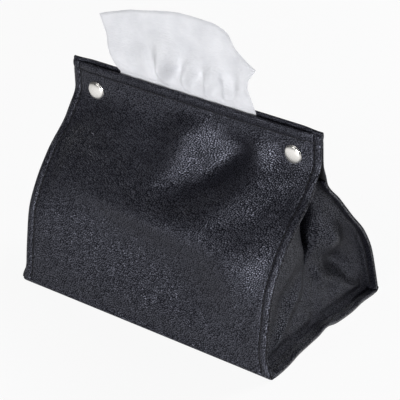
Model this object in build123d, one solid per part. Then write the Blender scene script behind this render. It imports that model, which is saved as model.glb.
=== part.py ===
from build123d import *
from math import asin, cos, pi, sin
import os

# Refillable tissue pouch in soft grained leather.
# One strip of leather makes the front, the base and the back. A pleated
# gusset is sewn into each end with its raw edges outwards, the two top hems
# close on a slit, and a press stud near each end holds them together.
# Millimetres. X runs along the pouch, -Y is the front, +Z is up, and the
# origin is the middle of the base, on the table.

# Driving sizes of the pouch
pouch_length = 200
base_depth = 127
pouch_height = 142
back_rise = 2
leather = 1.0

# Side view of the front wall: upright skirt, leaning roof that swells, upright lip
front_shoulder_inset = 9
front_shoulder_height = 60
front_shoulder_radius = 60
swell_depth = 22.5
swell_below_neck = 16.5
swell_radius = 25
front_neck_over_gusset = 6.5
front_neck_radius = 6

# Side view of the back wall, which leans further in and stays flat
back_shoulder_inset = 12.5
back_shoulder_height = 48
back_shoulder_radius = 30
back_neck_over_gusset = 2.5
back_neck_radius = 15

# Bottom folds between the walls and the base
fold_rise = 4
fold_radius = 2.5
fold_gap = 0.3

# Turned-in hem along the top of each wall
hem_depth = 9

# End gussets and the seams that hold them
seam_margin = 5
seam_gap = 0.3
pleat_inset = 9
pleat_top_inset = 46
gusset_below_snap = 9
crease_width = 2
gusset_steps = 6

# Press studs
snap_inset = 20
snap_below_hem = 2.75
cap_diameter = 13
cap_height = 2.2
cap_rim = 0.7
dome_steps = 4
tube_diameter = 4.2
tube_bore = 3.2
socket_diameter = 11.5
socket_thickness = 2.4
socket_floor = 0.5
socket_mouth = 4.6
rivet_flare = 0.4
spring_wire = 0.6
spring_bore = 3.9
spring_sides = 6
spring_gap_angle = 50
groove_diameter = 5.6
groove_height = 0.8
stud_diameter = 10
stud_flange = 0.8
stud_neck = 3.7
stud_head = 4.3
stud_neck_length = 0.8
stud_head_length = 0.6
post_head = 9.5
post_head_height = 0.9
post_diameter = 2.5
fit_gap = 0.1

# Stack of interleaved tissues on the base
stack_end_gap = 3
stack_side_gap = 2
stack_height = 46
stack_layers = 8
fold_bulge = 2

# Sheet drawn up through the slit
tissue = 0.4
sheet_side_gap = 4
sheet_mouth_left = 60
sheet_mouth_right = 50
sheet_rise = 54
sheet_spread_left = 76
sheet_spread_right = 52
sheet_start_gap = 0.3
slit_ripple = 0.1
fold_depth = 11
fold_steps = 4
overrun = 5

# Worked out from the sizes above
half_length = pouch_length / 2
seam_x = half_length - seam_margin
snap_x = half_length - snap_inset
snap_height = pouch_height - hem_depth - snap_below_hem - socket_diameter / 2
gusset_top = snap_height - cap_diameter / 2 - gusset_below_snap
front_neck_height = gusset_top + front_neck_over_gusset
back_neck_height = gusset_top + back_neck_over_gusset
pleat_height = stack_height
stack_length = 2 * (seam_x - pleat_inset - leather - stack_end_gap)
stack_width = base_depth - 2 * (back_shoulder_inset + stack_side_gap)
sheet_inside = seam_x - pleat_top_inset - leather - sheet_side_gap
fold_y = (base_depth - leather) / 2
lip_gap = socket_thickness + stud_flange
lip_y = (lip_gap + leather) / 2
stack_top = leather + stack_height

# Bends of each wall from the shoulder up as (y, z, radius), below zero where hollow
front_bends = [
    (base_depth / 2 - front_shoulder_inset, front_shoulder_height, front_shoulder_radius),
    (swell_depth, front_neck_height - swell_below_neck, swell_radius),
    (lip_y, front_neck_height, -front_neck_radius),
]
back_bends = [
    (base_depth / 2 - back_shoulder_inset, back_shoulder_height, back_shoulder_radius),
    (lip_y, back_neck_height, -back_neck_radius),
]


def offset_line(points, distance):
    """An open line moved to its left, with its corners kept sharp."""
    points = [Vector(*point) for point in points]
    ahead = [(end - start).normalized() for start, end in zip(points, points[1:])]
    moved = []
    for point, before, after in zip(points, ahead[:1] + ahead, ahead + ahead[-1:]):
        normals = Vector(-before.Y, before.X), Vector(-after.Y, after.X)
        mitre = (normals[0] + normals[1]) / (1 + normals[0].dot(normals[1]))
        moved.append(point + mitre * distance)
    return moved


def strip_face(one_side, other_side):
    """The face between two lines that run the same way, closed at both ends."""
    ends = [Line(one_side @ end, other_side @ end) for end in (0, 1)]
    return make_face(one_side.edges() + other_side.edges() + ends)


def wall_line(bends, inset, height=pouch_height):
    """Side view of a wall as (y, z) towards +Y, inset from the middle of the leather."""
    corners = [(fold_y, fold_rise)] + [(y, z) for y, z, _ in bends] + [(lip_y, height - leather)]
    radii = [abs(radius - inset) for _, _, radius in bends]
    return FilletPolyline(*offset_line(corners, inset), radius=radii)


def wall_profile(bends, height):
    """A wall seen from the end, towards +Y: knuckle, leather and turned-in hem."""
    outer, inner = (wall_line(bends, inset, height) for inset in (-leather / 2, leather / 2))
    skin = strip_face(outer, inner)
    knuckle = Pos(fold_y, fold_rise) * Circle(leather / 2)
    hem_line = lip_y - leather / 2
    hem = Pos(hem_line, height - leather) * Rectangle(
        2 * leather, hem_depth - leather, align=(Align.CENTER, Align.MAX)
    )
    hem_fold = Pos(hem_line, height - leather) * Circle(leather)
    return skin + knuckle + hem + hem_fold


def wall_panel(bends, height, hole_diameter):
    """A wall towards +Y, pierced for its two press studs."""
    panel = extrude(Plane.YZ * wall_profile(bends, height), half_length, both=True)
    for x in (-snap_x, snap_x):
        hole = Rot(X=90) * Cylinder(hole_diameter / 2, lip_gap + base_depth)
        panel -= Pos(x, 0, snap_height) * hole
    return panel


def base_panel():
    """The strip's middle, flat on the table, with both long edges rolled up."""
    edge_top = fold_rise - leather / 2 - fold_gap
    middle = [
        (-fold_y, edge_top),
        (-fold_y, leather / 2),
        (fold_y, leather / 2),
        (fold_y, edge_top),
    ]
    below = FilletPolyline(*offset_line(middle, -leather / 2), radius=fold_radius + leather / 2)
    above = FilletPolyline(*offset_line(middle, leather / 2), radius=fold_radius - leather / 2)
    return extrude(Plane.YZ * strip_face(below, above), half_length, both=True)


def depth_at(line, height):
    """How far a wall's side view stands from the middle at one height."""
    low, high, search_share = 0, 1, 1e-6
    while high - low > search_share:
        middle = (low + high) / 2
        low, high = (middle, high) if (line @ middle).Y < height else (low, middle)
    return (line @ low).X


def gusset_ring(height, back_y, front_y):
    """A level slice through the right gusset, from the back seam to the front one."""
    low_share = min(height / pleat_height, 1)
    high_share = max(height - pleat_height, 0) / (gusset_top - pleat_height)
    crease_x = seam_x - pleat_inset * low_share - (pleat_top_inset - pleat_inset) * high_share
    back, front = (
        [
            (half_length, flange_y),
            (seam_x, flange_y),
            (crease_x, max(flange_y * (1 - low_share), crease_width / 2)),
        ]
        for flange_y in (back_y, front_y)
    )
    outside = back + [(x, -y) for x, y in reversed(front)]
    inside = offset_line(outside, -leather)
    return [Vector(x, y, height) for x, y, _ in [Vector(*p) for p in outside] + inside[::-1]]


def facet_solid(rings):
    """Flat facets between level rings that run out along one side and back along the other.

    Both sides are split along the same diagonals, so they stay apart.
    """
    facets = [rings[0], rings[-1]]
    count = len(rings[0])
    for below, above in zip(rings, rings[1:]):
        for i in range(count):
            j = (i + 1) % count
            if i < count / 2:
                facets += [[below[i], below[j], above[j]], [below[i], above[j], above[i]]]
            else:
                facets += [[below[i], below[j], above[i]], [below[j], above[j], above[i]]]
    return Solid(Shell([Face(Wire.make_polygon(corners)) for corners in facets]))


def gusset():
    """The right end: flanges inside the walls, a web and its inward pleat."""
    start = leather + seam_gap
    back, front = (wall_line(bends, leather / 2 + start) for bends in (back_bends, front_bends))
    floor_y = fold_y - fold_radius - leather
    levels = [fold_rise]
    levels += [pleat_height * step / gusset_steps for step in range(1, gusset_steps + 1)]
    rise = gusset_top - pleat_height
    levels += [pleat_height + rise * step / gusset_steps for step in range(1, gusset_steps + 1)]
    rings = [gusset_ring(start, floor_y, floor_y)]
    rings += [gusset_ring(level, depth_at(back, level), depth_at(front, level)) for level in levels]
    floor_flange = Pos(seam_x - leather, 0, start) * Box(
        seam_margin + leather,
        2 * floor_y + leather,
        leather,
        align=(Align.MIN, Align.CENTER, Align.MIN),
    )
    return facet_solid(rings) + floor_flange


def snap_cap():
    """Domed cap with its tube, which is riveted over inside the socket."""
    rim = cap_diameter / 2
    edge = rim - cap_rim / 2
    rise = cap_height - cap_rim
    ball = (edge**2 + rise**2) / (2 * rise)
    outline = [(0, 0), (edge, 0), (rim, cap_rim / 2)]
    for step in range(dome_steps, -1, -1):
        angle = asin(edge / ball) * step / dome_steps
        outline.append((ball * sin(angle), cap_height - ball + ball * cos(angle)))
    dome = make_face(Polyline(*outline, close=True))
    reach = leather + socket_floor
    below = (Align.CENTER, Align.CENTER, Align.MAX)
    tube = Cylinder(tube_diameter / 2, reach, align=below)
    flare = Pos(0, 0, -reach) * Cylinder(socket_mouth / 2 - fit_gap, rivet_flare, align=below)
    bore = Cylinder(tube_bore / 2, reach + rivet_flare, align=below)
    return revolve(Plane.XZ * dome, Axis.Z) + (tube + flare - bore)


def socket():
    """Round socket with a floor, a mouth and a groove for its ring spring."""
    body = Cylinder(
        socket_diameter / 2, socket_thickness, align=(Align.CENTER, Align.CENTER, Align.MIN)
    )
    body = chamfer(body.edges().group_by(Axis.Z)[-1], socket_floor)
    body -= Cylinder(tube_diameter / 2 + fit_gap, overrun)
    body -= Pos(0, 0, socket_floor) * Cylinder(
        socket_mouth / 2, socket_thickness, align=(Align.CENTER, Align.CENTER, Align.MIN)
    )
    groove = Cylinder(groove_diameter / 2, groove_height)
    return body - Pos(0, 0, socket_thickness - stud_neck_length / 2) * groove


def ring_spring():
    """Open ring of spring wire that clicks round the stud's neck."""
    wire = Pos((spring_bore + spring_wire) / 2, 0) * RegularPolygon(spring_wire / 2, spring_sides)
    ring = revolve(Plane.XZ * wire, Axis.Z, 360 - spring_gap_angle)
    return Pos(0, 0, socket_thickness - stud_neck_length / 2) * ring


def stud():
    """Stud with a flat flange, a neck, a rounded head and a bore for its post."""
    flange = Cylinder(stud_diameter / 2, stud_flange, align=(Align.CENTER, Align.CENTER, Align.MIN))
    neck = Pos(0, 0, stud_flange) * Cylinder(
        stud_neck / 2, stud_neck_length, align=(Align.CENTER, Align.CENTER, Align.MIN)
    )
    head = Pos(0, 0, stud_flange + stud_neck_length) * Cylinder(
        stud_head / 2, stud_head_length, align=(Align.CENTER, Align.CENTER, Align.MIN)
    )
    head = chamfer(head.edges().filter_by(GeomType.CIRCLE), stud_head_length / 3)
    bore = Cylinder(post_diameter / 2 + fit_gap, 2 * (stud_flange + stud_neck_length))
    return flange + neck + head - bore


def stud_post():
    """Flat-headed post that is riveted into the stud from outside the back wall."""
    head = Cylinder(post_head / 2, post_head_height, align=(Align.CENTER, Align.CENTER, Align.MIN))
    head = chamfer(head.edges().group_by(Axis.Z)[-1], post_head_height / 2)
    shank = Cylinder(
        post_diameter / 2,
        leather + stud_flange + stud_neck_length / 2,
        align=(Align.CENTER, Align.CENTER, Align.MAX),
    )
    return head + shank


def tissue_stack():
    """Interleaved tissues: folds bulge on one side where they meet on the other."""
    layer = stack_height / stack_layers
    edge_y = stack_width / 2 - fold_bulge
    whole = [layer * step for step in range(stack_layers + 1)]
    staggered = [0] + [height - layer / 2 for height in whole[1:]] + [stack_height]
    edges = [Line((-edge_y, 0), (edge_y, 0)), Line((-edge_y, stack_height), (edge_y, stack_height))]
    for side, heights in ((1, whole), (-1, staggered)):
        for low, high in zip(heights, heights[1:]):
            bulge = fold_bulge * (high - low) / layer
            crest = (side * (edge_y + bulge), (low + high) / 2)
            edges.append(ThreePointArc((side * edge_y, low), crest, (side * edge_y, high)))
    stack = extrude(Plane.YZ * make_face(edges), stack_length / 2, both=True)
    return Pos(0, 0, leather) * stack


def sheet_ring(height, left, right, depth):
    """A level slice of the sheet: one wave of folds, deeper as it fans out."""
    fold_shares = (0, 0.19, 0.38, 0.55, 0.78, 1)
    depth_shares = (0.7, -1, 0.8, -1, 0.7)
    middle = []
    for start, end, depth_share in zip(fold_shares, fold_shares[1:], depth_shares):
        for step in range(fold_steps):
            across_share = start + (end - start) * step / fold_steps
            wave = depth * depth_share * sin(pi * step / fold_steps)
            middle.append((left + (right - left) * across_share, wave))
    middle.append((right, 0))
    back = [Vector(x, y + tissue / 2, height) for x, y in middle]
    front = [Vector(x, y - tissue / 2, height) for x, y in reversed(middle)]
    return back + front


def sheet_outline():
    """The sheet seen from the front, from the stack up to its soft top edge."""
    start = stack_top + sheet_start_gap
    rises = (
        (-0.91, 0.46),
        (-1, 0.67),
        (-0.63, 0.87),
        (-0.36, 0.95),
        (0.05, 1),
        (0.45, 0.96),
        (0.67, 0.75),
        (1, 0.57),
        (0.86, 0.3),
    )
    points = [(-sheet_inside, start), (-sheet_inside, gusset_top)]
    points += [(-sheet_mouth_left, pouch_height)]
    for across_share, rise_share in rises:
        spread = sheet_spread_right if across_share > 0 else sheet_spread_left
        points.append((across_share * spread, pouch_height + rise_share * sheet_rise))
    points += [(sheet_mouth_right, pouch_height)]
    points += [(sheet_inside, gusset_top), (sheet_inside, start)]
    return make_face(Polyline(*points, close=True))


def tissue_sheet():
    """The sheet that stands out of the slit, flat inside and fanned out above."""
    start = stack_top + sheet_start_gap
    top = pouch_height + sheet_rise
    clear = pouch_height + back_rise
    narrow = (-sheet_mouth_left - overrun, sheet_mouth_right + overrun)
    wide = (-sheet_spread_left - overrun, sheet_spread_right + overrun)
    fan = facet_solid(
        [
            sheet_ring(start, *narrow, slit_ripple),
            sheet_ring(clear, *narrow, slit_ripple),
            sheet_ring(top, *wide, fold_depth),
        ]
    )
    return fan & extrude(Plane.XZ * sheet_outline(), base_depth / 2, both=True)


def write(name, shape):
    """One file for one piece."""
    export_step(shape, f"parts/{name}.step")
    print(name, f"{shape.volume:.1f} mm3")


def main():
    os.makedirs("parts", exist_ok=True)
    front_hole = tube_diameter + 2 * fit_gap
    back_hole = post_diameter + 2 * fit_gap
    write("base_panel", base_panel())
    write("front_panel", mirror(wall_panel(front_bends, pouch_height, front_hole), Plane.XZ))
    write("back_panel", wall_panel(back_bends, pouch_height + back_rise, back_hole))
    write("right_gusset", gusset())
    write("left_gusset", mirror(gusset(), Plane.YZ))
    write("tissue_stack", tissue_stack())
    write("tissue_sheet", tissue_sheet())
    outside = lip_gap / 2 + leather
    for name, x in (("left", -snap_x), ("right", snap_x)):
        forward, backward = Rot(X=90), Rot(X=-90)
        write(f"{name}_snap_cap", Pos(x, -outside, snap_height) * forward * snap_cap())
        write(f"{name}_snap_socket", Pos(x, -lip_gap / 2, snap_height) * backward * socket())
        write(f"{name}_snap_spring", Pos(x, -lip_gap / 2, snap_height) * backward * ring_spring())
        write(f"{name}_snap_stud", Pos(x, lip_gap / 2, snap_height) * forward * stud())
        write(f"{name}_snap_post", Pos(x, outside, snap_height) * backward * stud_post())


main()
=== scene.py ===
from math import cos, pi, radians, sin, tau

import bmesh
import bpy
import numpy as np
from mathutils import Matrix, Vector


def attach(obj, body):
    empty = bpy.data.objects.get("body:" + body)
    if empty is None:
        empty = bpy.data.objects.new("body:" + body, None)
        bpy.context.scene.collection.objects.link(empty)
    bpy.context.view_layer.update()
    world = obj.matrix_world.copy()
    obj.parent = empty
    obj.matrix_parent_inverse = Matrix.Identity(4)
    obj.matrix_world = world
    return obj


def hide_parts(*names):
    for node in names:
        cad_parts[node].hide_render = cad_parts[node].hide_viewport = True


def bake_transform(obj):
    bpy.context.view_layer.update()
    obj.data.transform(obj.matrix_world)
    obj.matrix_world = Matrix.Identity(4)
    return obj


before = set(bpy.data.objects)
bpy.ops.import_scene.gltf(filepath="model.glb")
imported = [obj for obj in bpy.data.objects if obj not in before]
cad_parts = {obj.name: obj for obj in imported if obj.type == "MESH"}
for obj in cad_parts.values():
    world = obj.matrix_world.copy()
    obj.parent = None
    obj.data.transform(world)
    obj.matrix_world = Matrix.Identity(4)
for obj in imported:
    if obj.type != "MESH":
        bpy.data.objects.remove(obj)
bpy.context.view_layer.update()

# Tissue pouch: black pebble-grained leather, chrome press studs, white tissue.
# Everything is worked out in millimetres and written to the meshes in metres.
# x runs along the pouch, the front is -y, z is up, and the floor is z = 0.

MM = 0.001
scene = bpy.context.scene

# Pouch. A wall's grain side turns up from the floor where the fold starts, and its
# lip stands upright above the roof.
HALF_LENGTH = 100.0
FRONT_HEIGHT = 142.0
BACK_HEIGHT = 144.0
LEATHER = 1.0
LIP_DEPTH = 2.6
FLOOR_EDGE = 58.0
FOLD_START = 60.5
FOLD_RADIUS = 3.0

# Turned-in hem: the round top and the flap inside are the last rows of a wall
HEM_RADIUS = 1.05
HEM_DEPTH = 9.0
HEM_TURN_ROWS = 8
HEM_FLAP_ROWS = 7
HEM_ROWS = HEM_TURN_ROWS + HEM_FLAP_ROWS

# Seams, and the thread that shows in them
SEAM_GAP = 0.3
STITCH_INSET = 5.4
HEM_STITCH_DROP = 5.5
BASE_STITCH_INSET = 3.4
BASE_STITCH_LEVELS = (0.34, 2.32)
GUSSET_STITCH_X = 95.2
STITCH_PITCH = 3.2
STITCH_LENGTH = 2.9
THREAD_WIDTH = 0.7
THREAD_PROUD = 0.2
END_GROOVE_DEPTH = 0.66
HEM_GROOVE_DEPTH = 0.64
GROOVE_WIDTH = 0.62

# Side view of each wall: how far it stands from the middle at nine heights
WALL_LEVELS = np.linspace(0, FRONT_HEIGHT, 9)
FRONT_DEPTHS = [63.5, 61.7, 58.8, 55.0, 45.8, 31.5, 12.0, LIP_DEPTH, LIP_DEPTH]
BACK_DEPTHS = [63.5, 59.7, 55.3, 46.7, 32.6, 19.0, 5.2, LIP_DEPTH, LIP_DEPTH]

# Swells and hollows of the two walls: (x, z), widths, turn, height outwards.
# Those of the front were judged from the shading in the photo.
FRONT_SWELLS = [
    # the roll where the leaning roof turns down into the skirt
    ((4, 75), (70, 12), -2, 8.5),
    # the skirt sinks in below the roll, and stands out again at its right end
    ((10, 46), (58, 24), -4, -6.5),
    ((67, 56), (20, 24), -30, 4.5),
    # the broad swell at the left of the roof, and the dip below the left stud
    ((-46, 104), (42, 22), -4, 6.5),
    ((-87, 112), (30, 10), 8, -2.5),
    # the swell below the middle of the slit
    ((2, 120), (15, 24), -12, 8.0),
    # the deep fold that runs down from the right of the slit, and the hollow at its foot
    ((35, 110), (17, 9), 30, -6.5),
    ((18, 94), (20, 9), 14, -7.0),
    # the two swells between the deep fold and the right stud
    ((52, 99), (24, 12), 24, 6.5),
    ((55, 124), (11, 11), 45, 6.0),
]
# The back isn't in the photo, so its swells are guessed, and calmer.
BACK_SWELLS = [
    ((-30, 92), (24, 22), 15, 3.0),
    ((35, 98), (20, 24), -10, 2.4),
    ((2, 104), (14, 26), 0, -2.6),
    ((70, 78), (16, 26), 20, -1.8),
    ((-74, 84), (14, 30), -8, -1.6),
    ((0, 42), (70, 28), 0, 1.6),
]

# Gussets: the pleat's crease runs inwards above its foot
GUSSET_SEAM_X = 94.0
GUSSET_FOOT = 2.3
GUSSET_TOP = 109.0
PLEAT_X = 86.0
PLEAT_HEIGHT = 46.0
PLEAT_TOP_X = 49.0
FOLD_LINE_DEPTH = 61.0

# Press studs
STUD_X = 80.0
STUD_HEIGHT = 124.5

# Sheet of tissue: its outline above the slit as (x, z), read off the photo to the
# millimetre, and its half width down on the stack
SLIT_HEIGHT = 143
SHEET_TOP = [
    (-75, 180), (-73, 181), (-60, 185), (-48, 189), (-28, 193), (-11, 195),
    (3, 195.4), (16, 195), (24, 193), (29, 191), (35, 183), (42, 179), (52, 173),
]
SHEET_LEFT = [(-60, SLIT_HEIGHT), (-64, 151), (-67, 159), (-69, 168), (-73, 176), (-75, 180)]
SHEET_RIGHT = [
    (50, SLIT_HEIGHT), (47, 149), (45, 153), (44, 158), (45, 164), (48, 168), (52, 173)
]
SHEET_FOOT = 44
SHEET_START = 47.5
TISSUE = 0.16

# Stack of tissues on the base
STACK_LAYERS = 26
STACK_BOTTOM = 1.2
STACK_TOP = 46.6
STACK_HALF_WIDTH = 47.2
STACK_HALF_LENGTH = 81.6

# Pebbles of the grain along a metre of leather
GRAIN_SCALE = 850.0

# Places among the materials of a cut piece of leather
GRAIN, BACKING, RAW_CORE = 0, 1, 2

# Camera, as fitted to the pouch's edges in the photo: place in millimetres, angles in
# degrees, and the small shift of its aim to the right and up
CAMERA_PLACE = (683.2, -824.5, 660.0)
CAMERA_LENS = 169.09
CAMERA_AZIMUTH = 39.7
CAMERA_ELEVATION = 29.29
CAMERA_ROLL = -2.46
CAMERA_AIM = (0.002124, 0.00479)

# Soft lamps, in metres: their side, and the place in the pouch that they face
LAMP_SIZE = 0.36
LAMP_AIM = Vector((0, 0, 0.06))


def smooth_curve(places, values):
    """A curve through the values that never overshoots them."""
    places, values = np.asarray(places, float), np.asarray(values, float)
    steps = np.diff(places)
    slopes = np.diff(values) / steps
    inner = np.zeros(len(slopes) - 1)
    same = slopes[:-1] * slopes[1:] > 0
    inner[same] = 2 * slopes[:-1][same] * slopes[1:][same] / (slopes[:-1] + slopes[1:])[same]
    tangents = np.concatenate([slopes[:1], inner, slopes[-1:]])

    def at(place):
        place = np.clip(place, places[0], places[-1])
        i = np.clip(np.searchsorted(places, place, side="right") - 1, 0, len(steps) - 1)
        share = (place - places[i]) / steps[i]
        rest = 1 - share
        return (
            values[i] * (1 + 2 * share) * rest**2
            + values[i + 1] * (3 - 2 * share) * share**2
            + tangents[i] * steps[i] * share * rest**2
            - tangents[i + 1] * steps[i] * share**2 * rest
        )

    return at


def ease(low, high, value):
    """0 below low, 1 above high, and smooth between them."""
    share = np.clip((value - low) / (high - low), 0, 1)
    return share * share * (3 - 2 * share)


def hump(place, middle, width):
    """A soft bump of height 1."""
    return np.exp(-(((place - middle) / width) ** 2))


def oval(x, z, middle, widths, turn):
    """A soft oval bump, turned by an angle in degrees."""
    c, s = cos(radians(turn)), sin(radians(turn))
    along = (x - middle[0]) * c + (z - middle[1]) * s
    across = (z - middle[1]) * c - (x - middle[0]) * s
    return np.exp(-((along / widths[0]) ** 2) - (across / widths[1]) ** 2)


front_depth_at = smooth_curve(WALL_LEVELS, FRONT_DEPTHS)
back_depth_at = smooth_curve(WALL_LEVELS, BACK_DEPTHS)


def new_object(name, data):
    """An object in the scene, at the origin."""
    made = bpy.data.objects.new(name, data)
    scene.collection.objects.link(made)
    return made


def mesh_piece(name, points, faces, materials, uvs=None, kinds=None, sharp=50):
    """An object from points in millimetres, with its place in its mesh."""
    mesh = bpy.data.meshes.new(name)
    mesh.from_pydata((np.asarray(points) * MM).tolist(), [], [list(f) for f in faces])
    for material in materials:
        mesh.materials.append(material)
    if kinds is not None:
        mesh.polygons.foreach_set("material_index", np.asarray(kinds, np.int32))
    if uvs is not None:
        layer = mesh.uv_layers.new(name="hide")
        corner = np.zeros(len(mesh.loops), np.int32)
        mesh.loops.foreach_get("vertex_index", corner)
        layer.data.foreach_set("uv", (np.asarray(uvs)[corner] * MM).astype(np.float32).ravel())
    mesh.validate()
    mesh.shade_smooth()
    mesh.set_sharp_from_angle(angle=radians(sharp))
    return new_object(name, mesh)


def grid_faces(rows, columns, first=0):
    """Quads between neighbouring rows and columns of points."""
    index = np.arange(rows * columns).reshape(rows, columns) + first
    return np.stack(
        [index[:-1, :-1], index[:-1, 1:], index[1:, 1:], index[1:, :-1]], axis=-1
    ).reshape(-1, 4)


def point_normals(points, faces):
    """Unit normals at the points, from the faces round each."""
    a, b, c, d = (points[faces[:, i]] for i in range(4))
    normal = np.cross(c - a, d - b)
    total = np.zeros_like(points)
    for i in range(4):
        np.add.at(total, faces[:, i], normal)
    length = np.linalg.norm(total, axis=1, keepdims=True)
    return total / np.maximum(length, 1e-9)


def border_edges(faces):
    """Edges that belong to one face only, in that face's direction."""
    edges = np.concatenate([faces[:, [i, (i + 1) % 4]] for i in range(4)])
    known = {(int(a), int(b)) for a, b in edges}
    return [(int(a), int(b)) for a, b in edges if a != b and (int(b), int(a)) not in known]


def leather_piece(name, points, faces, uvs, dents=0.0, inner_edge=GRAIN):
    """A cut piece of leather: grain side out, backing in, and a raw edge all round.

    The raw edge is black like the grain side. Where the light core of the leather shows,
    inner_edge is RAW_CORE, for a thin line along its inside. Dents in the grain side thin
    the leather, and the backing stays smooth.
    """
    normals = point_normals(points, faces)
    thickness = (LEATHER - np.broadcast_to(dents, len(points)))[:, None]
    backing = points - normals * thickness
    border = border_edges(faces)
    rim = sorted({a for a, _ in border} | {b for _, b in border})
    outward = np.zeros_like(points)
    for a, b in border:
        side = np.cross(points[b] - points[a], normals[a] + normals[b])
        side /= max(np.linalg.norm(side), 1e-9)
        outward[a] += side
        outward[b] += side
    length = np.linalg.norm(outward, axis=1, keepdims=True)
    outward /= np.maximum(length, 1e-9)
    count = len(points)
    place = {p: 2 * count + i for i, p in enumerate(rim)}
    bulge, core_share = 0.12, 0.78
    middle = points[rim] + outward[rim] * bulge - normals[rim] * thickness[rim] * core_share
    everything = np.concatenate([points, backing, middle])
    all_uvs = np.concatenate([uvs, uvs, uvs[rim]])
    quads = [tuple(f) for f in faces] + [tuple(f + count)[::-1] for f in faces]
    kinds = [GRAIN] * len(faces) + [BACKING] * len(faces)
    for a, b in border:
        quads += [(b, a, place[a], place[b]), (place[b], place[a], a + count, b + count)]
        kinds += [GRAIN, inner_edge]
    piece = mesh_piece(
        name, everything, quads, [leather_grain, leather_backing, leather_core], all_uvs, kinds
    )
    # The dent attribute keeps how deep the grain side is pressed; the leather material paints
    # shade into the grooves from it.
    depth = np.zeros(len(everything), np.float32)
    depth[:count] = np.broadcast_to(dents, count)
    piece.data.attributes.new("dent", "FLOAT", "POINT").data.foreach_set("value", depth)
    return piece


def face_outwards(piece):
    """Turns all faces of a closed piece outwards."""
    shape = bmesh.new()
    shape.from_mesh(piece.data)
    bmesh.ops.recalc_face_normals(shape, faces=shape.faces)
    shape.to_mesh(piece.data)
    shape.free()


def ring_faces(rings, steps, closed=False):
    """Quads between neighbouring rings of points, and between the last and first if closed."""
    faces = []
    for ring in range(rings if closed else rings - 1):
        low, high = ring * steps, (ring + 1) % rings * steps
        for i in range(steps):
            j = (i + 1) % steps
            faces.append((low + i, low + j, high + j, high + i))
    return faces


def turned_points(outline, steps, middle, toward):
    """Rings of points turned from an outline of (radius, height), facing toward -y or +y."""
    angles = np.arange(steps) * tau / steps
    return [
        (middle[0] + r * cos(a), middle[1] + toward * h, middle[2] + r * sin(a))
        for r, h in outline
        for a in angles
    ]


def turned_piece(name, outline, steps, middle, toward, material):
    """A solid round piece, whose outline starts and ends on its axis."""
    rings = [(r, h) for r, h in outline if r > 0]
    points = turned_points(rings, steps, middle, toward)
    faces = ring_faces(len(rings), steps)
    for first, (_, h) in ((0, outline[0]), (len(points) - steps, outline[-1])):
        pole = len(points)
        points.append((middle[0], middle[1] + toward * h, middle[2]))
        for i in range(steps):
            j = (i + 1) % steps
            face = (pole, first + i, first + j)
            faces.append(face if first > 0 else face[::-1])
    piece = mesh_piece(name, points, faces, [material], sharp=40)
    face_outwards(piece)
    return piece


# Materials


def new_material(name, roughness=0.5):
    """A material with its node tree and its Principled shader."""
    material = bpy.data.materials.new(name)
    material.use_nodes = True
    tree = material.node_tree
    shader = tree.nodes["Principled BSDF"]
    shader.inputs["Roughness"].default_value = roughness
    return material, tree, shader


def add(tree, kind, settings=None, **inputs):
    """A node with its settings and inputs. An input is a value or another node's socket."""
    node = tree.nodes.new(kind)
    for key, value in (settings or {}).items():
        setattr(node, key, value)
    for key, value in inputs.items():
        socket = node.inputs[int(key[1:]) if key[1:].isdigit() else key.replace("_", " ")]
        if isinstance(value, bpy.types.NodeSocket):
            tree.links.new(value, socket)
        else:
            socket.default_value = value
    return node


def maths(tree, operation, *values):
    """The result of a Math node on numbers and other nodes' sockets."""
    inputs = {f"i{place}": value for place, value in enumerate(values)}
    return add(tree, "ShaderNodeMath", {"operation": operation}, **inputs).outputs[0]


def remap(tree, value, old, new, easing="LINEAR"):
    """A value moved from one range to another."""
    return add(
        tree, "ShaderNodeMapRange", {"interpolation_type": easing},
        i0=value, i1=old[0], i2=old[1], i3=new[0], i4=new[1],
    ).outputs[0]


def noise(tree, place, scale, detail):
    """A soft noise of about that many bumps to the metre."""
    return add(tree, "ShaderNodeTexNoise", i0=place, Scale=scale, Detail=detail).outputs[0]


def ramp(tree, factor, stops):
    """A colour ramp through stops of (place, colour)."""
    node = add(tree, "ShaderNodeValToRGB", i0=factor)
    while len(node.color_ramp.elements) < len(stops):
        node.color_ramp.elements.new(0.5)
    for element, (place, colour) in zip(node.color_ramp.elements, stops):
        element.position = place
        element.color = (*colour, 1)
    return node.outputs["Color"]


def paint(tree, shader, colour, height, strength, distance):
    """Gives the shader its colour, and a relief of that distance in metres."""
    tree.links.new(colour, shader.inputs["Base Color"])
    bump = add(tree, "ShaderNodeBump", Strength=strength, Distance=distance, Height=height)
    tree.links.new(bump.outputs[0], shader.inputs["Normal"])


def wandering(tree, surface, place, scale, reach):
    """A place moved about by a noise over the surface, so that its pattern isn't regular."""
    push = add(tree, "ShaderNodeTexNoise", i0=surface, Scale=scale, Detail=1.0).outputs["Color"]
    return add(
        tree, "ShaderNodeVectorMath", {"operation": "MULTIPLY_ADD"},
        i0=push, i1=(reach, reach, 0), i2=place,
    ).outputs[0]


def pebble_cells(tree, place, feature):
    """The cells that the pebbles of the grain fill."""
    return add(
        tree, "ShaderNodeTexVoronoi", {"voronoi_dimensions": "2D", "feature": feature},
        Vector=place, Scale=GRAIN_SCALE, Randomness=0.85,
    )


def pebble_height(tree, drawn):
    """Rounded pebbles of uneven height: a crown in the middle and flanks down to the valleys."""
    cells = pebble_cells(tree, drawn, "F1")
    edge = pebble_cells(tree, drawn, "DISTANCE_TO_EDGE").outputs["Distance"]
    crown = remap(tree, cells.outputs["Distance"], (0.8, -0.2), (0.0, 0.5), "SMOOTHSTEP")
    flank = remap(tree, edge, (-0.14, 0.34), (0.0, 0.6), "SMOOTHSTEP")
    pebble = maths(tree, "ADD", crown, flank)
    chance = add(tree, "ShaderNodeSeparateColor", i0=cells.outputs["Color"]).outputs[0]
    return maths(tree, "MULTIPLY", pebble, maths(tree, "MULTIPLY_ADD", chance, 0.5, 0.65))


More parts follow.
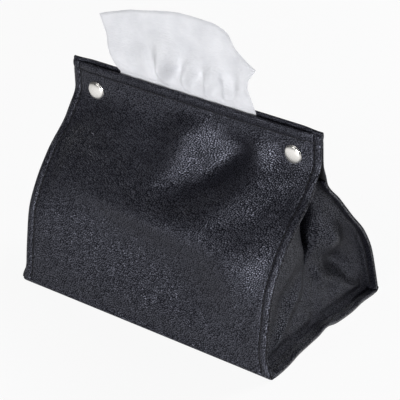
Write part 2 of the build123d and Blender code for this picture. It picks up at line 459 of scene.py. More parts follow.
def grained_leather():
    """Black coated leather with rounded pebbles, drawn out a little along the hide.

    The pebbles' tops are polished. Their valleys have painted shade, a darker colour and a
    weaker shine, for the little light that reaches them. A piece's dent attribute says how
    deep its grain side is pressed, and paints shade into the grooves by weakening their shine.
    """
    material, tree, shader = new_material("black_grained_leather")
    surface = add(tree, "ShaderNodeTexCoord").outputs["UV"]
    drifted = wandering(tree, surface, surface, 120.0, 0.004)
    curled = wandering(tree, surface, drifted, 900.0, 0.0005)
    drawn = add(
        tree, "ShaderNodeMapping", Vector=curled, Rotation=(0, 0, radians(12)), Scale=(0.8, 1.2, 1)
    ).outputs[0]
    height = pebble_height(tree, drawn)
    creased = maths(tree, "MULTIPLY_ADD", noise(tree, drawn, 300.0, 2.0), 0.12, height)
    relief = maths(tree, "MULTIPLY_ADD", noise(tree, surface, 2600.0, 3.0), 0.03, creased)
    # Painted shade: the colour is darker in the valleys between the pebbles, where less light
    # reaches, and lighter on their tops.
    valley, flank, top = (0.003, 0.003, 0.004), (0.006, 0.006, 0.009), (0.012, 0.012, 0.017)
    colour = ramp(tree, height, [(0.1, valley), (0.45, flank), (0.9, top)])
    paint(tree, shader, colour, relief, 1.0, 0.00020)

    rough = remap(tree, height, (0.1, 0.8), (0.50, 0.30))
    worn = maths(tree, "MULTIPLY_ADD", noise(tree, surface, 28.0, 3.0), 0.12, rough)
    tree.links.new(maths(tree, "SUBTRACT", worn, 0.05), shader.inputs["Roughness"])
    # Painted shade: the shine is weakened in the valleys between the pebbles and strongest on
    # their tops.
    shine_with_valley_shade = remap(tree, height, (0.28, 0.82), (0.06, 1.15))
    # Painted shade: the shine is weakened further along the grooves that the dent attribute marks.
    dent = add(tree, "ShaderNodeAttribute", {"attribute_name": "dent"}).outputs["Fac"]
    painted_groove_shade = remap(tree, dent, (0.12, 0.5), (1.0, 0.05))
    tree.links.new(maths(tree, "MULTIPLY", shine_with_valley_shade, painted_groove_shade), shader.inputs["Specular IOR Level"])
    shader.inputs["Specular Tint"].default_value = (0.80, 0.83, 1.0, 1)
    return material


def fabric_backing():
    """The knitted backing on the leather's inside, a dull dark grey."""
    material, tree, shader = new_material("dark_fabric_backing", 0.95)
    surface = add(tree, "ShaderNodeTexCoord").outputs["UV"]
    wale, course = (
        add(
            tree, "ShaderNodeTexWave", {"bands_direction": direction}, Vector=surface,
            Scale=scale, Distortion=1.5, Detail=1.0,
        ).outputs["Fac"]
        for direction, scale in (("X", 420.0), ("Y", 560.0))
    )
    knit = maths(tree, "MULTIPLY", wale, course)
    colour = ramp(tree, knit, [(0.0, (0.014, 0.014, 0.016)), (1.0, (0.035, 0.035, 0.038))])
    paint(tree, shader, colour, knit, 0.5, 0.0002)
    return material


def raw_core():
    """The cut core of the leather, which is light grey."""
    material, tree, shader = new_material("light_leather_core", 0.9)
    place = add(tree, "ShaderNodeTexCoord").outputs["Object"]
    fibres = noise(tree, place, 1600.0, 3.0)
    colour = ramp(tree, fibres, [(0.35, (0.16, 0.16, 0.17)), (0.65, (0.34, 0.34, 0.35))])
    paint(tree, shader, colour, fibres, 0.5, 0.0001)
    return material


def sewing_thread():
    """Black twisted thread with a dull shine."""
    material, tree, shader = new_material("black_sewing_thread", 0.6)
    place = add(tree, "ShaderNodeTexCoord").outputs["Object"]
    twist = add(
        tree, "ShaderNodeTexWave", {"bands_direction": "DIAGONAL"}, Vector=place, Scale=900.0
    ).outputs["Fac"]
    colour = ramp(tree, twist, [(0.0, (0.006, 0.006, 0.007)), (1.0, (0.020, 0.020, 0.023))])
    paint(tree, shader, colour, twist, 0.4, 0.0001)
    shader.inputs["Specular IOR Level"].default_value = 0.35
    return material


def metal(name, colour, roughness, marks):
    """Plated or plain metal with fine wear marks, which are duller than the rest."""
    material, tree, shader = new_material(name)
    place = add(tree, "ShaderNodeTexCoord").outputs["Object"]
    wear = noise(tree, place, 900.0, 4.0)
    shader.inputs["Metallic"].default_value = 1.0
    tinted = ramp(tree, wear, [(0.3, tuple(0.94 * c for c in colour)), (0.7, colour)])
    paint(tree, shader, tinted, wear, 0.15, 0.00005)
    rough = remap(tree, wear, (0.3, 0.7), (roughness, roughness + marks))
    tree.links.new(rough, shader.inputs["Roughness"])
    return material


def soft_paper():
    """Two-ply tissue: nearly white, with a soft crepe and faint embossing."""
    material, tree, shader = new_material("white_tissue_paper", 0.95)
    place = add(tree, "ShaderNodeTexCoord").outputs["Object"]
    stretched = add(tree, "ShaderNodeMapping", Vector=place, Scale=(1.0, 1.0, 2.6)).outputs[0]
    crepe = noise(tree, stretched, 420.0, 5.0)
    cloud = noise(tree, place, 70.0, 3.0)
    colour = ramp(tree, cloud, [(0.3, (0.58, 0.585, 0.61)), (0.7, (0.68, 0.683, 0.705))])
    paint(tree, shader, colour, maths(tree, "MULTIPLY_ADD", cloud, 0.8, crepe), 0.5, 0.0009)
    shader.inputs["Sheen Weight"].default_value = 0.1
    return material


leather_grain = grained_leather()
leather_backing = fabric_backing()
leather_core = raw_core()
black_thread = sewing_thread()
cap_chrome = metal("satin_cap_chrome", (0.92, 0.90, 0.86), 0.20, 0.08)
snap_steel = metal("nickel_snap_steel", (0.62, 0.61, 0.58), 0.28, 0.14)
spring_steel = metal("bright_spring_wire", (0.70, 0.70, 0.70), 0.22, 0.10)
tissue_paper = soft_paper()


# Walls


def strip_line(depth_at, height):
    """Side view of a wall's grain side as (depth, z), from the floor to the hem's inner end."""
    floor = [(depth, 0.0) for depth in np.linspace(FLOOR_EDGE, FOLD_START, 3)]
    turn = [
        (FOLD_START + FOLD_RADIUS * sin(a), FOLD_RADIUS * (1 - cos(a)))
        for a in np.linspace(0, pi / 2, 7)[1:]
    ]
    levels = np.linspace(FOLD_RADIUS, height - HEM_RADIUS, 112)[1:]
    stretch = FRONT_HEIGHT / height
    wall = [(float(depth_at(z * stretch)), float(z)) for z in levels]
    top, middle = height - HEM_RADIUS, LIP_DEPTH - HEM_RADIUS
    hem = [
        (middle + HEM_RADIUS * cos(a), top + HEM_RADIUS * sin(a))
        for a in np.linspace(0, pi, HEM_TURN_ROWS + 1)[1:]
    ]
    flap_levels = np.linspace(top, height - HEM_DEPTH, HEM_FLAP_ROWS + 1)[1:]
    flap = [(middle - HEM_RADIUS, z) for z in flap_levels]
    return np.array(floor + turn + wall + hem + flap)


def wall_columns():
    """Places along the pouch, closer together at the two seams."""
    edge = [0, 0.5, 1.1, 1.9, 2.8, 3.6, 4.2, 4.7, 5.1, 5.4, 5.7, 6.1, 6.6, 7.3, 8.2, 9.3]
    left = -HALF_LENGTH + np.array(edge)
    middle = np.linspace(-89.2, 89.2, 116)
    return np.concatenate([left, middle, -left[::-1]])


def bottom_edge_flare(points):
    """The base's ends stand proud of the walls towards the front and lift a little.

    The seam there isn't pressed flat: its fin spreads at the front corner.
    """
    x, y, z = points[..., 0], points[..., 1], points[..., 2]
    end = ease(88, 100, np.abs(x)) * (1 - ease(2, 16, z)) * np.where(x > 0, 1.0, 0.55)
    spread = 4.6 * ease(-6, -56, y) + 0.8 * hump(y, 30, 14)
    lift = 2.6 * hump(y, 4, 7) + 0.7 * hump(y, -30, 9) + 0.8 * hump(y, 44, 8)
    moved = points.copy()
    moved[..., 0] += np.sign(x) * spread * end
    moved[..., 2] += lift * end
    return moved


def soft_depth(side, x, z, height):
    """How far a wall swells out of its side view, and how far its skirt sags in."""
    swell = np.zeros_like(x)
    for middle, widths, turn, rise in FRONT_SWELLS if side < 0 else BACK_SWELLS:
        swell = swell + rise * oval(x, z, middle, widths, turn)
    swell = swell + 0.5 * np.sin(x * 0.055 + 0.8)
    below_hem = ease(6, 26, z) * (1 - ease(height - 22, height - 9, z))
    away_from_studs = 1 - hump(np.hypot(np.abs(x) - STUD_X, z - STUD_HEIGHT), 0, 12)
    away_from_seams = 1 - ease(80, 93, np.abs(x))
    sag = 2.0 * (1 - (x / HALF_LENGTH) ** 2) * (1 - ease(8, 60, z)) * ease(0, 4, z)
    return swell * below_hem * away_from_studs * away_from_seams, sag


def sewn_relief(x, z, height):
    """What sewing does to a wall: how far it is raised, and how deep it is dented."""
    from_edge = HALF_LENGTH - np.abs(x)
    end_groove = END_GROOVE_DEPTH * hump(from_edge, STITCH_INSET, GROOVE_WIDTH) * ease(1, 6, z)
    margin = 0.40 * hump(from_edge, STITCH_INSET / 2, 1.9) * ease(1, 6, z)
    stitch_height = height - HEM_STITCH_DROP
    hem_groove = HEM_GROOVE_DEPTH * hump(z, stitch_height, GROOVE_WIDTH)
    hem_roll = 0.45 * hump(z, height - 2.9, 2.0)
    mitre = 0.4 * hump(from_edge - (height - z), 0, 0.6) * (z > stitch_height)
    rolled_edge = 0.22 * (1 - ease(0, 1.1, from_edge))
    dents = np.maximum(end_groove, np.maximum(hem_groove, mitre)) + rolled_edge
    return margin + hem_roll, dents


def wall_surface(side):
    """The grain side of the front or the back wall, as rows of points along the pouch."""
    height = FRONT_HEIGHT if side < 0 else BACK_HEIGHT
    line = strip_line(front_depth_at if side < 0 else back_depth_at, height)
    x = np.tile(wall_columns(), (len(line), 1))
    depth = np.tile(line[:, :1], (1, x.shape[1]))
    z = np.tile(line[:, 1:], (1, x.shape[1]))
    step = np.linalg.norm(np.diff(line, axis=0), axis=1)
    along = np.concatenate([[0], np.cumsum(step)])
    uvs = np.stack([x, np.tile(along[:, None], (1, x.shape[1]))], axis=-1)

    outside = np.arange(len(line))[:, None] < len(line) - HEM_ROWS
    swell, sag = soft_depth(side, x, z, height)
    points = np.stack([x, side * (depth + swell * outside - sag), z], axis=-1)
    faces = grid_faces(*x.shape)
    if side > 0:
        faces = faces[:, ::-1]
    normals = point_normals(points.reshape(-1, 3), faces).reshape(points.shape)
    raised, dents = sewn_relief(x, z, height)
    dents = dents * outside
    points = points + normals * (raised * outside - dents)[..., None]
    pinch = 1.2 * ease(84, 97, np.abs(x)) * ease(111, 121, z)
    points[..., 1] -= side * pinch
    return bottom_edge_flare(points), faces, uvs, dents


def leather_wall(name, side, node):
    """One wall, which bends across its bottom fold."""
    points, faces, uvs, dents = wall_surface(side)
    piece = leather_piece(name, points.reshape(-1, 3), faces, uvs.reshape(-1, 2), dents.ravel())
    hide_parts(node)
    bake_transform(piece)
    return points


front_surface = leather_wall("leather_front", -1, "front_panel")
back_surface = leather_wall("leather_back", 1, "back_panel")


def leather_base():
    """The middle of the strip, flat on the table."""
    across = np.linspace(-FLOOR_EDGE, FLOOR_EDGE, 60)
    x, y = np.meshgrid(wall_columns(), across)
    points = bottom_edge_flare(np.stack([x, y, np.zeros_like(x)], axis=-1))
    patch_of_hide = 300
    uvs = np.stack([x, y + patch_of_hide], axis=-1)
    faces = grid_faces(*x.shape)[:, ::-1]
    piece = leather_piece(
        "leather_base", points.reshape(-1, 3), faces, uvs.reshape(-1, 2), inner_edge=RAW_CORE
    )
    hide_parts("base_panel")
    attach(piece, "base")


leather_base()


# Gussets


def inside_depth(side, z, inset):
    """How far something stands from the middle when it lies inset from a wall's grain side."""
    depth_at = front_depth_at if side < 0 else back_depth_at
    stretch = 1 if side < 0 else FRONT_HEIGHT / BACK_HEIGHT
    z = np.maximum(z, 4.0)
    slope = depth_at((z + 0.5) * stretch) - depth_at((z - 0.5) * stretch)
    return depth_at(z * stretch) - inset * np.sqrt(1 + slope**2)


def gusset_bends(side, z):
    """The corners of one half of a gusset at one level, from its middle to the raw edge.

    Up to the pleat's foot they follow the flat lower triangle, and above it the pleat,
    which opens into a rounded lip.
    """
    flange = float(inside_depth(side, z, 2 * LEATHER + SEAM_GAP))
    low = min(z / PLEAT_HEIGHT, 1)
    high = max(z - PLEAT_HEIGHT, 0) / (GUSSET_TOP - PLEAT_HEIGHT)
    crease = GUSSET_SEAM_X - (GUSSET_SEAM_X - PLEAT_X) * low - (PLEAT_X - PLEAT_TOP_X) * high
    open_share = float(ease(0, 0.36, high) * (1 - ease(0.5, 1.0, high)))
    lip_x = crease if high == 0 else PLEAT_X + 2.6 * float(ease(0, 0.4, high))
    lip_y = max(flange * (1 - low), 0.5) + 6.5 * open_share
    lip_y = min(lip_y, 0.6 * flange) if high > 0 else lip_y
    return np.array(
        [(crease, 0), (lip_x, lip_y), (GUSSET_SEAM_X, flange), (HALF_LENGTH, flange)]
    )


def rounded(bends, counts, radius):
    """Points along a line of straight pieces, with its inner corners rounded."""
    lengths = np.linalg.norm(np.diff(bends, axis=0), axis=1)
    ends = np.concatenate([[0], np.cumsum(lengths)])
    places = [0.0]
    for start, stop, count in zip(ends, ends[1:], counts):
        places += list(np.linspace(start, stop, count + 1)[1:])
    places = np.array(places)
    first = (bends[1] - bends[0]) / max(lengths[0], 1e-6)
    last = (bends[-1] - bends[-2]) / max(lengths[-1], 1e-6)
    total = np.zeros((len(places), 2))
    reach = np.minimum(radius, 0.8 * np.minimum(places, ends[-1] - places) + 0.01)
    shifts = np.linspace(-1, 1, 21)
    weights = (1 - shifts**2) ** 2
    for shift, weight in zip(shifts, weights):
        place = places + shift * reach
        point = np.stack([np.interp(place, ends, bends[:, i]) for i in (0, 1)], axis=-1)
        point += np.minimum(place, 0)[:, None] * first
        point += np.maximum(place - ends[-1], 0)[:, None] * last
        total += weight * point
    return total / weights.sum()


def gusset_folds(points, side, seed):
    """How far the soft folds of a gusset stand out of its pleated shape."""
    x, y, z = points.T
    depth = np.abs(y)
    in_web = (1 - ease(90.5, 93.6, x)) * ease(3, 12, z) * ease(0.5, 5, depth)
    up_from_fold = (z - PLEAT_HEIGHT) + depth * PLEAT_HEIGHT / FOLD_LINE_DEPTH
    strength = 1.0 if side > 0 else 0.5
    belly = 6.2 * strength * oval(depth, z, (19, 59), (14, 12), -20)
    valley = -5.0 * strength * oval(depth, z, (30, 36), (17, 6.5), -34)
    ridge = 3.0 * hump(up_from_fold, -3, 6) * ease(3, 10, depth) * (1 - ease(50, 60, depth))
    sag = 3.0 * hump(z, 10, 6.5) * ease(1, 8, depth) * (1 - ease(50, 59, depth))
    ripples = 0.35 * np.sin(0.55 * depth + 0.25 * z + seed) * hump(z, 8, 7)
    slow_waves = 0.45 * np.sin(0.15 * z + 0.08 * depth + seed)
    quick_waves = 0.3 * np.sin(0.33 * depth - 0.12 * z + 2 * seed)
    return (belly + valley + ridge + sag + ripples + slow_waves + quick_waves) * in_web


def gusset_half(end, side, seed):
    """One half of a gusset: web, seam flange and floor flange in one sheet of points."""
    counts = (26, 44, 8)
    web_columns = counts[0] + counts[1] + 1
    levels = np.concatenate([[GUSSET_FOOT, 2.8], np.linspace(3.6, GUSSET_TOP, 110)])
    fold_radius = 3.4
    web = []
    for z in levels:
        row = rounded(gusset_bends(side, z), counts, fold_radius)
        web.append(np.column_stack([row[:, 0], side * row[:, 1], np.full(len(row), z)]))
    web = np.array(web)
    floor = []
    for share in np.linspace(1, 0.12, 6):
        row = web[0, :web_columns].copy()
        row[:, 0] += (HALF_LENGTH - row[:, 0]) * share
        floor.append(row)
    floor = np.array(floor)

    first_floor = web[..., 0].size
    last = first_floor + (len(floor) - 1) * web_columns
    join = np.array([[last + i, last + i + 1, i + 1, i] for i in range(web_columns - 1)])
    points = np.concatenate([web.reshape(-1, 3), floor.reshape(-1, 3)])
    faces = np.concatenate(
        [grid_faces(*web.shape[:2]), grid_faces(len(floor), web_columns, first_floor), join]
    )
    step = np.linalg.norm(np.diff(web, axis=1), axis=2)
    along = np.concatenate([np.zeros((len(web), 1)), np.cumsum(step, axis=1)], axis=1)
    patch_of_hide = 500
    web_uvs = np.stack(
        [side * along + patch_of_hide, np.tile(levels[:, None], (1, web.shape[1]))], axis=-1
    )
    floor_uvs = np.stack(
        [np.tile(web_uvs[0, :web_columns, 0], (len(floor), 1)),
         levels[0] - (floor[..., 0] - web[0, :web_columns, 0])], axis=-1
    )
    uvs = np.concatenate([web_uvs.reshape(-1, 2), floor_uvs.reshape(-1, 2)])
    if side < 0:
        faces = faces[:, ::-1]

    normals = point_normals(points, faces)
    x, _, z = points.T
    seam = 0.4 * hump(x, GUSSET_STITCH_X, 0.55) * (z > 4)
    points = points + normals * (gusset_folds(points, side, seed) - seam)[:, None]
    points = bottom_edge_flare(points)
    points[:, 0] *= end
    if end < 0:
        faces = faces[:, ::-1]
    return points, faces, uvs, seam


def gusset(end, end_name):
    """Both halves of one gusset, which meet at its crease."""
    for side, side_name in ((-1, "front"), (1, "back")):
        seed = 0.7 + end + 2 * side
        half = leather_piece(
            f"{end_name}_gusset_{side_name}",
            *gusset_half(end, side, seed),
            inner_edge=RAW_CORE if side > 0 else GRAIN,
        )
        if side < 0:
            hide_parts(f"{end_name}_gusset")
        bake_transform(half)


gusset(1, "right")
gusset(-1, "left")


# Sewing


def stitch_tree():
    """Threads laid end to end along a line, one ellipsoid each."""
    tree = bpy.data.node_groups.new("row_of_stitches", "GeometryNodeTree")
    for name, kind, value in (
        ("Line", "NodeSocketGeometry", None),
        ("Pitch", "NodeSocketFloat", STITCH_PITCH * MM),
        ("Thread Width", "NodeSocketFloat", THREAD_WIDTH * MM),
        ("Stitch Length", "NodeSocketFloat", STITCH_LENGTH * MM),
        ("Thread", "NodeSocketMaterial", None),
    ):
        socket = tree.interface.new_socket(name, in_out="INPUT", socket_type=kind)
        if value is not None:
            socket.default_value = value
    tree.interface.new_socket("Stitches", in_out="OUTPUT", socket_type="NodeSocketGeometry")
    sizes = tree.nodes.new("NodeGroupInput")
    result = tree.nodes.new("NodeGroupOutput")
    line = add(tree, "GeometryNodeMeshToCurve", Mesh=sizes.outputs["Line"])
    places = add(
        tree, "GeometryNodeCurveToPoints", {"mode": "LENGTH"},
        Curve=line.outputs[0], Length=sizes.outputs["Pitch"],
    )
    turn = add(
        tree, "FunctionNodeAlignRotationToVector", {"axis": "Z"}, Vector=places.outputs["Tangent"]
    )
    thread = add(tree, "GeometryNodeMeshUVSphere", Segments=8, Rings=6, Radius=0.5)
    size = add(
        tree, "ShaderNodeCombineXYZ", X=sizes.outputs["Thread Width"],
        Y=sizes.outputs["Thread Width"], Z=sizes.outputs["Stitch Length"],
    )
    rows = add(
        tree, "GeometryNodeInstanceOnPoints", Points=places.outputs["Points"],
        Instance=thread.outputs["Mesh"], Rotation=turn.outputs[0], Scale=size.outputs[0],
    )
    real = add(tree, "GeometryNodeRealizeInstances", Geometry=rows.outputs[0])
    painted = add(
        tree, "GeometryNodeSetMaterial", Geometry=real.outputs[0], Material=sizes.outputs["Thread"]
    )
    tree.links.new(painted.outputs[0], result.inputs[0])
    return tree


stitches = stitch_tree()


def sew(name, lines):
    """Stitches along lines of points, as one plain mesh."""
    points = np.concatenate(lines)
    edges, first = [], 0
    for line in lines:
        edges += [(first + i, first + i + 1) for i in range(len(line) - 1)]
        first += len(line)
    guide_mesh = bpy.data.meshes.new(name + "_line")
    guide_mesh.from_pydata((points * MM).tolist(), edges, [])
    guide = new_object(name + "_line", guide_mesh)
    modifier = guide.modifiers.new("stitches", "NODES")
    modifier.node_group = stitches
    for item in stitches.interface.items_tree:
        if item.name == "Thread":
            modifier[item.identifier] = black_thread
    bpy.context.view_layer.update()
    evaluated = guide.evaluated_get(bpy.context.evaluated_depsgraph_get())
    mesh = bpy.data.meshes.new_from_object(evaluated)
    mesh.name = name
    mesh.shade_smooth()
    bpy.data.objects.remove(guide)
    return new_object(name, mesh)


def wall_stitches(side, surface, height):
    """The stitch lines of one wall: its end seams, outside and in, and the hem."""
    x = wall_columns()
    columns = [int(np.argmin(np.abs(x - end * (HALF_LENGTH - STITCH_INSET)))) for end in (-1, 1)]
    z = surface[:, len(x) // 2, 2]
    stitched = (z > 5) & (z < height - HEM_STITCH_DROP)
    rows = [row for row in range(len(z) - HEM_ROWS - 1) if stitched[row]]
    proud = np.array([0, side * THREAD_PROUD, 0])
    lines = [surface[rows, column] + proud for column in columns]
    lines.append(surface[rows[-1], columns[0]:columns[1] + 1] + proud)
    low = [row for row in rows if z[row] < GUSSET_TOP - 2]
    for column, end in zip(columns, (-1, 1)):
        seam = surface[low, column].copy()
        seam[:, 0] = end * GUSSET_STITCH_X
        inside = inside_depth(side, seam[:, 2], 2 * LEATHER + SEAM_GAP)
        seam[:, 1] = side * (inside + 0.25)
        lines.append(seam)
    return lines


for side, name, body, surface, height in (
    (-1, "front_stitches", "front", front_surface, FRONT_HEIGHT),
    (1, "back_stitches", "back", back_surface, BACK_HEIGHT),
):
    threads = sew(name, wall_stitches(side, surface, height))
    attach(threads, body)


def base_stitches():
    """The seams of the base and the gussets' floor flanges, seen from below and above."""
    across = np.linspace(-56, 56, 80)
    lines = []
    for end in (-1, 1):
        for z in BASE_STITCH_LEVELS:
            x = end * (HALF_LENGTH - BASE_STITCH_INSET)
            line = [np.full_like(across, x), across, np.full_like(across, z)]
            lines.append(bottom_edge_flare(np.stack(line, axis=-1)))
    threads = sew("base_stitches", lines)
    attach(threads, "base")


base_stitches()


# Press studs


def snap_cap(name, x):
    """Domed cap with a rolled rim and a shallow ring at its foot."""
    outline = [(0, -0.15), (5.9, -0.15), (6.3, 0.0), (6.5, 0.28), (6.42, 0.58), (6.12, 0.78)]
    foot_radius, foot_height, rise, dome_steps = 6.05, 0.82, 1.38, 14
    for step in range(1, dome_steps + 1):
        angle = step / dome_steps * pi / 2
        outline.append((max(foot_radius * cos(angle), 0), foot_height + rise * sin(angle) ** 0.9))
    outline[-1] = (0, outline[-2][1] + 0.005)
    cap = turned_piece(name, outline, 72, (x, -LIP_DEPTH, STUD_HEIGHT), -1, cap_chrome)
    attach(cap, "front")
    return cap


def snap_tube(name, x):
    """The cap's tube through the leather, rolled over inside the socket."""
    outline = [
        (1.6, 0.1), (2.1, 0.1), (2.1, -1.45), (2.2, -1.7), (2.1, -1.9), (1.75, -1.9), (1.6, -1.7)
    ]
    steps = 40
    points = turned_points(outline, steps, (x, -LIP_DEPTH, STUD_HEIGHT), -1)
    faces = ring_faces(len(outline), steps, closed=True)
    tube = mesh_piece(name, points, faces, [snap_steel], sharp=40)
    face_outwards(tube)
    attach(tube, "front")


def stud_post(name, x):
    """Flat-headed post on the back wall, with a soft edge."""
    outline = [(0, -1.9), (1.25, -1.9), (1.25, -0.1), (4.2, -0.1), (4.6, 0.05), (4.75, 0.3)]
    outline += [(4.66, 0.56), (4.35, 0.76), (3.6, 0.86), (2.0, 0.92), (0.8, 0.93), (0, 0.93)]
    post = turned_piece(name, outline, 64, (x, LIP_DEPTH, STUD_HEIGHT), 1, snap_steel)
    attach(post, "back")
    return post


for x, end_name in ((-STUD_X, "left"), (STUD_X, "right")):
    cap = snap_cap(f"{end_name}_cap_dome", x)
    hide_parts(f"{end_name}_snap_cap")
    snap_tube(f"{end_name}_cap_tube", x)
    post = stud_post(f"{end_name}_stud_post", x)
    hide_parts(f"{end_name}_snap_post")
    for part, finish in (("socket", snap_steel), ("stud", snap_steel), ("spring", spring_steel)):
        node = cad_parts[f"{end_name}_snap_{part}"]
        for material_slot in node.material_slots:
            material_slot.material = finish


# Tissues


def edge_line(points, count):
    """Evenly spaced points on a line through (x, z) points."""
    points = np.asarray(points, float)
    length = np.concatenate([[0], np.cumsum(np.linalg.norm(np.diff(points, axis=0), axis=1))])
    place = np.linspace(0, length[-1], count)
    return np.stack([np.interp(place, length, points[:, i]) for i in (0, 1)], axis=-1)


def sheet_outline_patch(columns, rows):
    """Rows of (x, z) that fill the outline above the slit evenly."""
    top = edge_line(SHEET_TOP, columns)
    left, right = edge_line(SHEET_LEFT, rows), edge_line(SHEET_RIGHT, rows)
    bottom = edge_line([SHEET_LEFT[0], SHEET_RIGHT[0]], columns)
    s = np.linspace(0, 1, columns)[None, :, None]
    t = np.linspace(0, 1, rows)[:, None, None]
    return (
        (1 - t) * bottom[None] + t * top[None] + (1 - s) * left[:, None] + s * right[:, None]
        - (1 - s) * (1 - t) * bottom[0] - s * (1 - t) * bottom[-1]
        - (1 - s) * t * top[0] - s * t * top[-1]
    )


def sheet_hidden_rows(columns, rows):
    """Rows of (x, z) from the stack up to the slit, widening on the way."""
    hidden = []
    for share in np.linspace(0, 1, rows, endpoint=False):
        z = SHEET_START + (SLIT_HEIGHT - SHEET_START) * share
        wide = ease(100, 140, z)
        left = -SHEET_FOOT + (SHEET_LEFT[0][0] + SHEET_FOOT) * wide
        right = SHEET_FOOT + (SHEET_RIGHT[0][0] - SHEET_FOOT) * wide
        hidden.append(edge_line([(left, z), (right, z)], columns))
    return np.array(hidden)


def sheet_gathers(x, z, share, rise, free):
    """Gathers and folds of the sheet, front to back."""
    fine = 0.22 * np.sin(share * 46) + 0.10 * np.sin(share * 91 + 1)
    y = fine * (0.4 + 0.6 * ease(60, 120, z)) * (1 - 0.8 * free)
    # Folds that start in the slit: place, lean, width, depth, reach upwards
    for middle, lean, width, depth, reach in (
        (-22.5, 0.06, 3.0, -6.5, 40),
        (-5.0, 0.02, 2.4, -4.6, 26),
        (13.0, 0.0, 2.2, -4.4, 24),
        (-44.0, -0.20, 5.0, 1.8, 44),
        (29.0, 0.04, 3.2, 3.0, 34),
    ):
        line = middle + lean * rise
        wide = width + 0.16 * rise
        fade = (1 - ease(0.35 * reach, reach, rise)) * ease(0, 13, rise)
        shoulders = hump(x, line - 1.9 * wide, wide) + hump(x, line + 1.9 * wide, wide)
        y = y + depth * fade * (hump(x, line, wide) - 0.45 * shoulders)
    y = y + free * (1.8 * np.sin(x * 0.045 + 0.9) + 0.8 * np.sin(x * 0.13 + z * 0.05))
    left_corner = 0.055 * (rise - 20) * hump(x, -60, 30)
    right_lean = -0.10 * rise * hump(x, 45, 16)
    return y + free * (left_corner + right_lean)


def tissue_sheet():
    """The sheet drawn up through the slit, gathered in it and fanned out above."""
    columns, rows, hidden_rows = 150, 70, 40
    place = np.concatenate(
        [sheet_hidden_rows(columns, hidden_rows), sheet_outline_patch(columns, rows)]
    )
    x, z = place[..., 0].copy(), place[..., 1]
    share = np.tile(np.linspace(0, 1, columns), (len(x), 1))
    rise = np.maximum(z - SLIT_HEIGHT, 0)
    free = ease(0, 14, rise)
    y = sheet_gathers(x, z, share, rise, free)

    # A pleat at the right, where the sheet laps over itself as it leaves the slit
    pleat_share, pleat_width = 0.775, 0.05
    off = np.clip((share - pleat_share) / pleat_width, -1, 1)
    pleat = ease(0, 3, rise) * (1 - ease(12, 26, rise))
    x = x - 1.2 * pleat * np.sin(pi * off) * np.cos(off * pi / 2)
    y = y + pleat * (2.2 * ease(-0.6, 0.6, off) - 1.1) * (1 - ease(0.83, 1.0, share))
    upward = np.concatenate([np.zeros(hidden_rows), np.linspace(0, 1, rows)])[:, None]
    rim = np.maximum(ease(0.972, 1, upward), ease(0.985, 1, np.maximum(share, 1 - share)))
    y = y + 0.9 * rim * free

    points = np.stack([x, y, z], axis=-1).reshape(-1, 3)
    faces = grid_faces(*x.shape)
    half_thickness = point_normals(points, faces) * TISSUE / 2
    shell = np.concatenate([points + half_thickness, points - half_thickness])
    count = len(points)
    quads = [tuple(f) for f in faces] + [tuple(f + count)[::-1] for f in faces]
    quads += [(b, a, a + count, b + count) for a, b in border_edges(faces)]
    sheet = mesh_piece("tissue_in_slit", shell, quads, [tissue_paper], sharp=70)
    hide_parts("tissue_sheet")
    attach(sheet, "sheet")


def stack_outline():
    """End view of the stack as (side, z, bulge, fold): up one side and down the other."""
    thick = (STACK_TOP - STACK_BOTTOM) / STACK_LAYERS
    fold_steps, bulge = 5, 1.3
    outline = []
    for side in (1, -1):
        for layer in range(STACK_LAYERS)[::side]:
            middle = STACK_BOTTOM + thick * layer + thick / 2
            fold = layer if side > 0 else layer + STACK_LAYERS
            for step in range(fold_steps):
                a = side * (-pi / 2 + pi * (step + 0.5) / fold_steps)
                outline.append((side, middle + thick / 2 * sin(a), bulge * cos(a), fold))
    return outline


def tissue_stack():
    """Interleaved tissues with rounded folds along both sides."""
    outline = stack_outline()
    rng = np.random.default_rng(7)
    reach = rng.uniform(-0.5, 0.5, 2 * STACK_LAYERS)
    wave = rng.uniform(0, tau, 2 * STACK_LAYERS)
    end = STACK_HALF_LENGTH
    along = np.concatenate([[-end, 0.4 - end], np.linspace(-80, 80, 54), [end - 0.4, end]])
    points = []
    for x in along:
        tuck = 0.8 if abs(x) > end - 0.2 else 0.0
        for side, z, bulge, fold in outline:
            sway = reach[fold] + 0.3 * sin(0.07 * x + wave[fold])
            points.append((x, side * (STACK_HALF_WIDTH + bulge + sway - tuck), z))
    steps = len(outline)
    faces = ring_faces(len(along), steps)
    for first in (0, (len(along) - 1) * steps):
        last = first + steps - 1
        for i in range(steps // 2 - 1):
            face = (first + i, first + i + 1, last - i - 1, last - i)
            faces.append(face if first > 0 else face[::-1])
    stack = mesh_piece("tissues_in_stack", points, faces, [tissue_paper], sharp=75)
    face_outwards(stack)
    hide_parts("tissue_stack")
    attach(stack, "base")


tissue_stack()
tissue_sheet()


# Studio


def look_from_the_photo():
    """The camera at the photo's place, angle and lens."""
    a, e, r = radians(CAMERA_AZIMUTH), radians(CAMERA_ELEVATION), radians(CAMERA_ROLL)
    back = Vector((sin(a) * cos(e), -cos(a) * cos(e), sin(e)))
    level_right = (-back).cross(Vector((0, 0, 1))).normalized()
    level_up = level_right.cross(-back)
    right = level_right * cos(r) + level_up * sin(r)
    up = level_up * cos(r) - level_right * sin(r)
    forward = (-back + right * CAMERA_AIM[0] + up * CAMERA_AIM[1]).normalized()
    right = (right - forward * right.dot(forward)).normalized()
    up = right.cross(forward)
    axes = Matrix((right, up, -forward)).transposed().to_4x4()
    camera_data = bpy.data.cameras.new("camera")
    camera_data.sensor_width = 36
    camera_data.lens = CAMERA_LENS
    camera = new_object("camera", camera_data)
    camera.matrix_world = Matrix.Translation(Vector(CAMERA_PLACE) * MM) @ axes
    scene.camera = camera


look_from_the_photo()


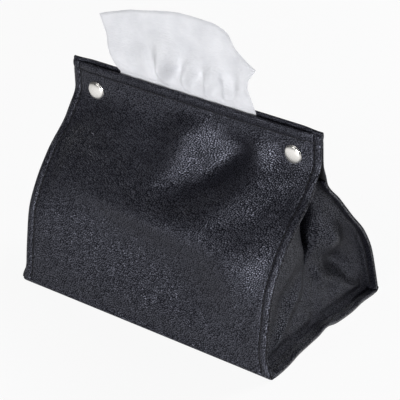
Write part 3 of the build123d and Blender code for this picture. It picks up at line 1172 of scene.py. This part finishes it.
def softbox(name, place, power, colour):
    """A square soft lamp that faces the middle of the pouch."""
    data = bpy.data.lights.new(name, "AREA")
    data.size = LAMP_SIZE
    data.energy = power
    data.color = colour
    lamp = new_object(name, data)
    lamp.location = place
    aim = LAMP_AIM - Vector(place)
    lamp.rotation_euler = aim.to_track_quat("-Z", "Y").to_euler()


def floor_spot(name, place, cone, power):
    """A lamp from above on the floor before the pouch, which throws it back up the wall."""
    data = bpy.data.lights.new(name, "SPOT")
    data.spot_size = radians(cone)
    data.spot_blend = 0.6
    data.shadow_soft_size = 0.05
    data.energy = power
    new_object(name, data).location = place


COOL_WHITE, WARM_WHITE, WHITE = (0.985, 0.99, 1.0), (1.0, 0.995, 0.99), (1.0, 1.0, 1.0)
softbox("front_softbox", (0.295, -1.10, 0.22), 11.2, COOL_WHITE)
softbox("side_softbox", (1.07, 0.39, 0.20), 2.0, COOL_WHITE)
softbox("back_softbox", (0.30, 0.90, 0.62), 9.0, WHITE)
softbox("left_softbox", (-1.02, 0.30, 0.45), 1.6, WHITE)
softbox("softbox_above", (-0.241, -0.899, 0.736), 1.9, WARM_WHITE)
floor_spot("floor_light", (-0.16, -0.42, 0.75), 50, 16.0)


def mix_backdrop(tree, output, lit, white, seen, mirrored):
    """Shows plain white instead of what is lit, by its share seen straight and mirrored."""
    path = add(tree, "ShaderNodeLightPath").outputs
    straight = maths(tree, "MAXIMUM", path["Is Camera Ray"], path["Is Transmission Ray"])
    straight = maths(tree, "MULTIPLY", straight, seen)
    reflected = maths(tree, "MULTIPLY", path["Is Glossy Ray"], mirrored)
    share = maths(tree, "MAXIMUM", straight, reflected)
    mix = add(tree, "ShaderNodeMixShader", i0=share, i1=lit.outputs[0], i2=white.outputs[0])
    tree.links.new(mix.outputs[0], tree.nodes[output].inputs["Surface"])


def white_world():
    """A white world round the pouch that lights it only a little."""
    world = bpy.data.worlds.new("white_studio")
    scene.world = world
    world.use_nodes = True
    tree = world.node_tree
    white = tree.nodes["Background"]
    white.inputs["Color"].default_value = (1, 1, 1, 1)
    white.inputs["Strength"].default_value = 1.0
    light = add(tree, "ShaderNodeBackground", Color=(0.95, 0.97, 1.0, 1), Strength=0.05)
    mix_backdrop(tree, "World Output", light, white, seen=1.0, mirrored=0.05)


def pale_floor():
    """A pale floor that shows nearly white and keeps the pouch's shadow."""
    material, tree, shader = new_material("pale_floor", 0.9)
    shader.inputs["Base Color"].default_value = (0.66, 0.66, 0.67, 1)
    white = add(tree, "ShaderNodeEmission", Color=(1, 1, 1, 1), Strength=1.0)
    mix_backdrop(tree, "Material Output", shader, white, seen=0.92, mirrored=0.5)
    mesh = bpy.data.meshes.new("floor")
    reach, level = 6.0, -0.0002
    corners = [(x * reach, y * reach, level) for x, y in ((-1, -1), (1, -1), (1, 1), (-1, 1))]
    mesh.from_pydata(corners, [], [(0, 1, 2, 3)])
    mesh.materials.append(material)
    floor = new_object("floor", mesh)


scene.view_settings.view_transform = "Standard"
white_world()
pale_floor()
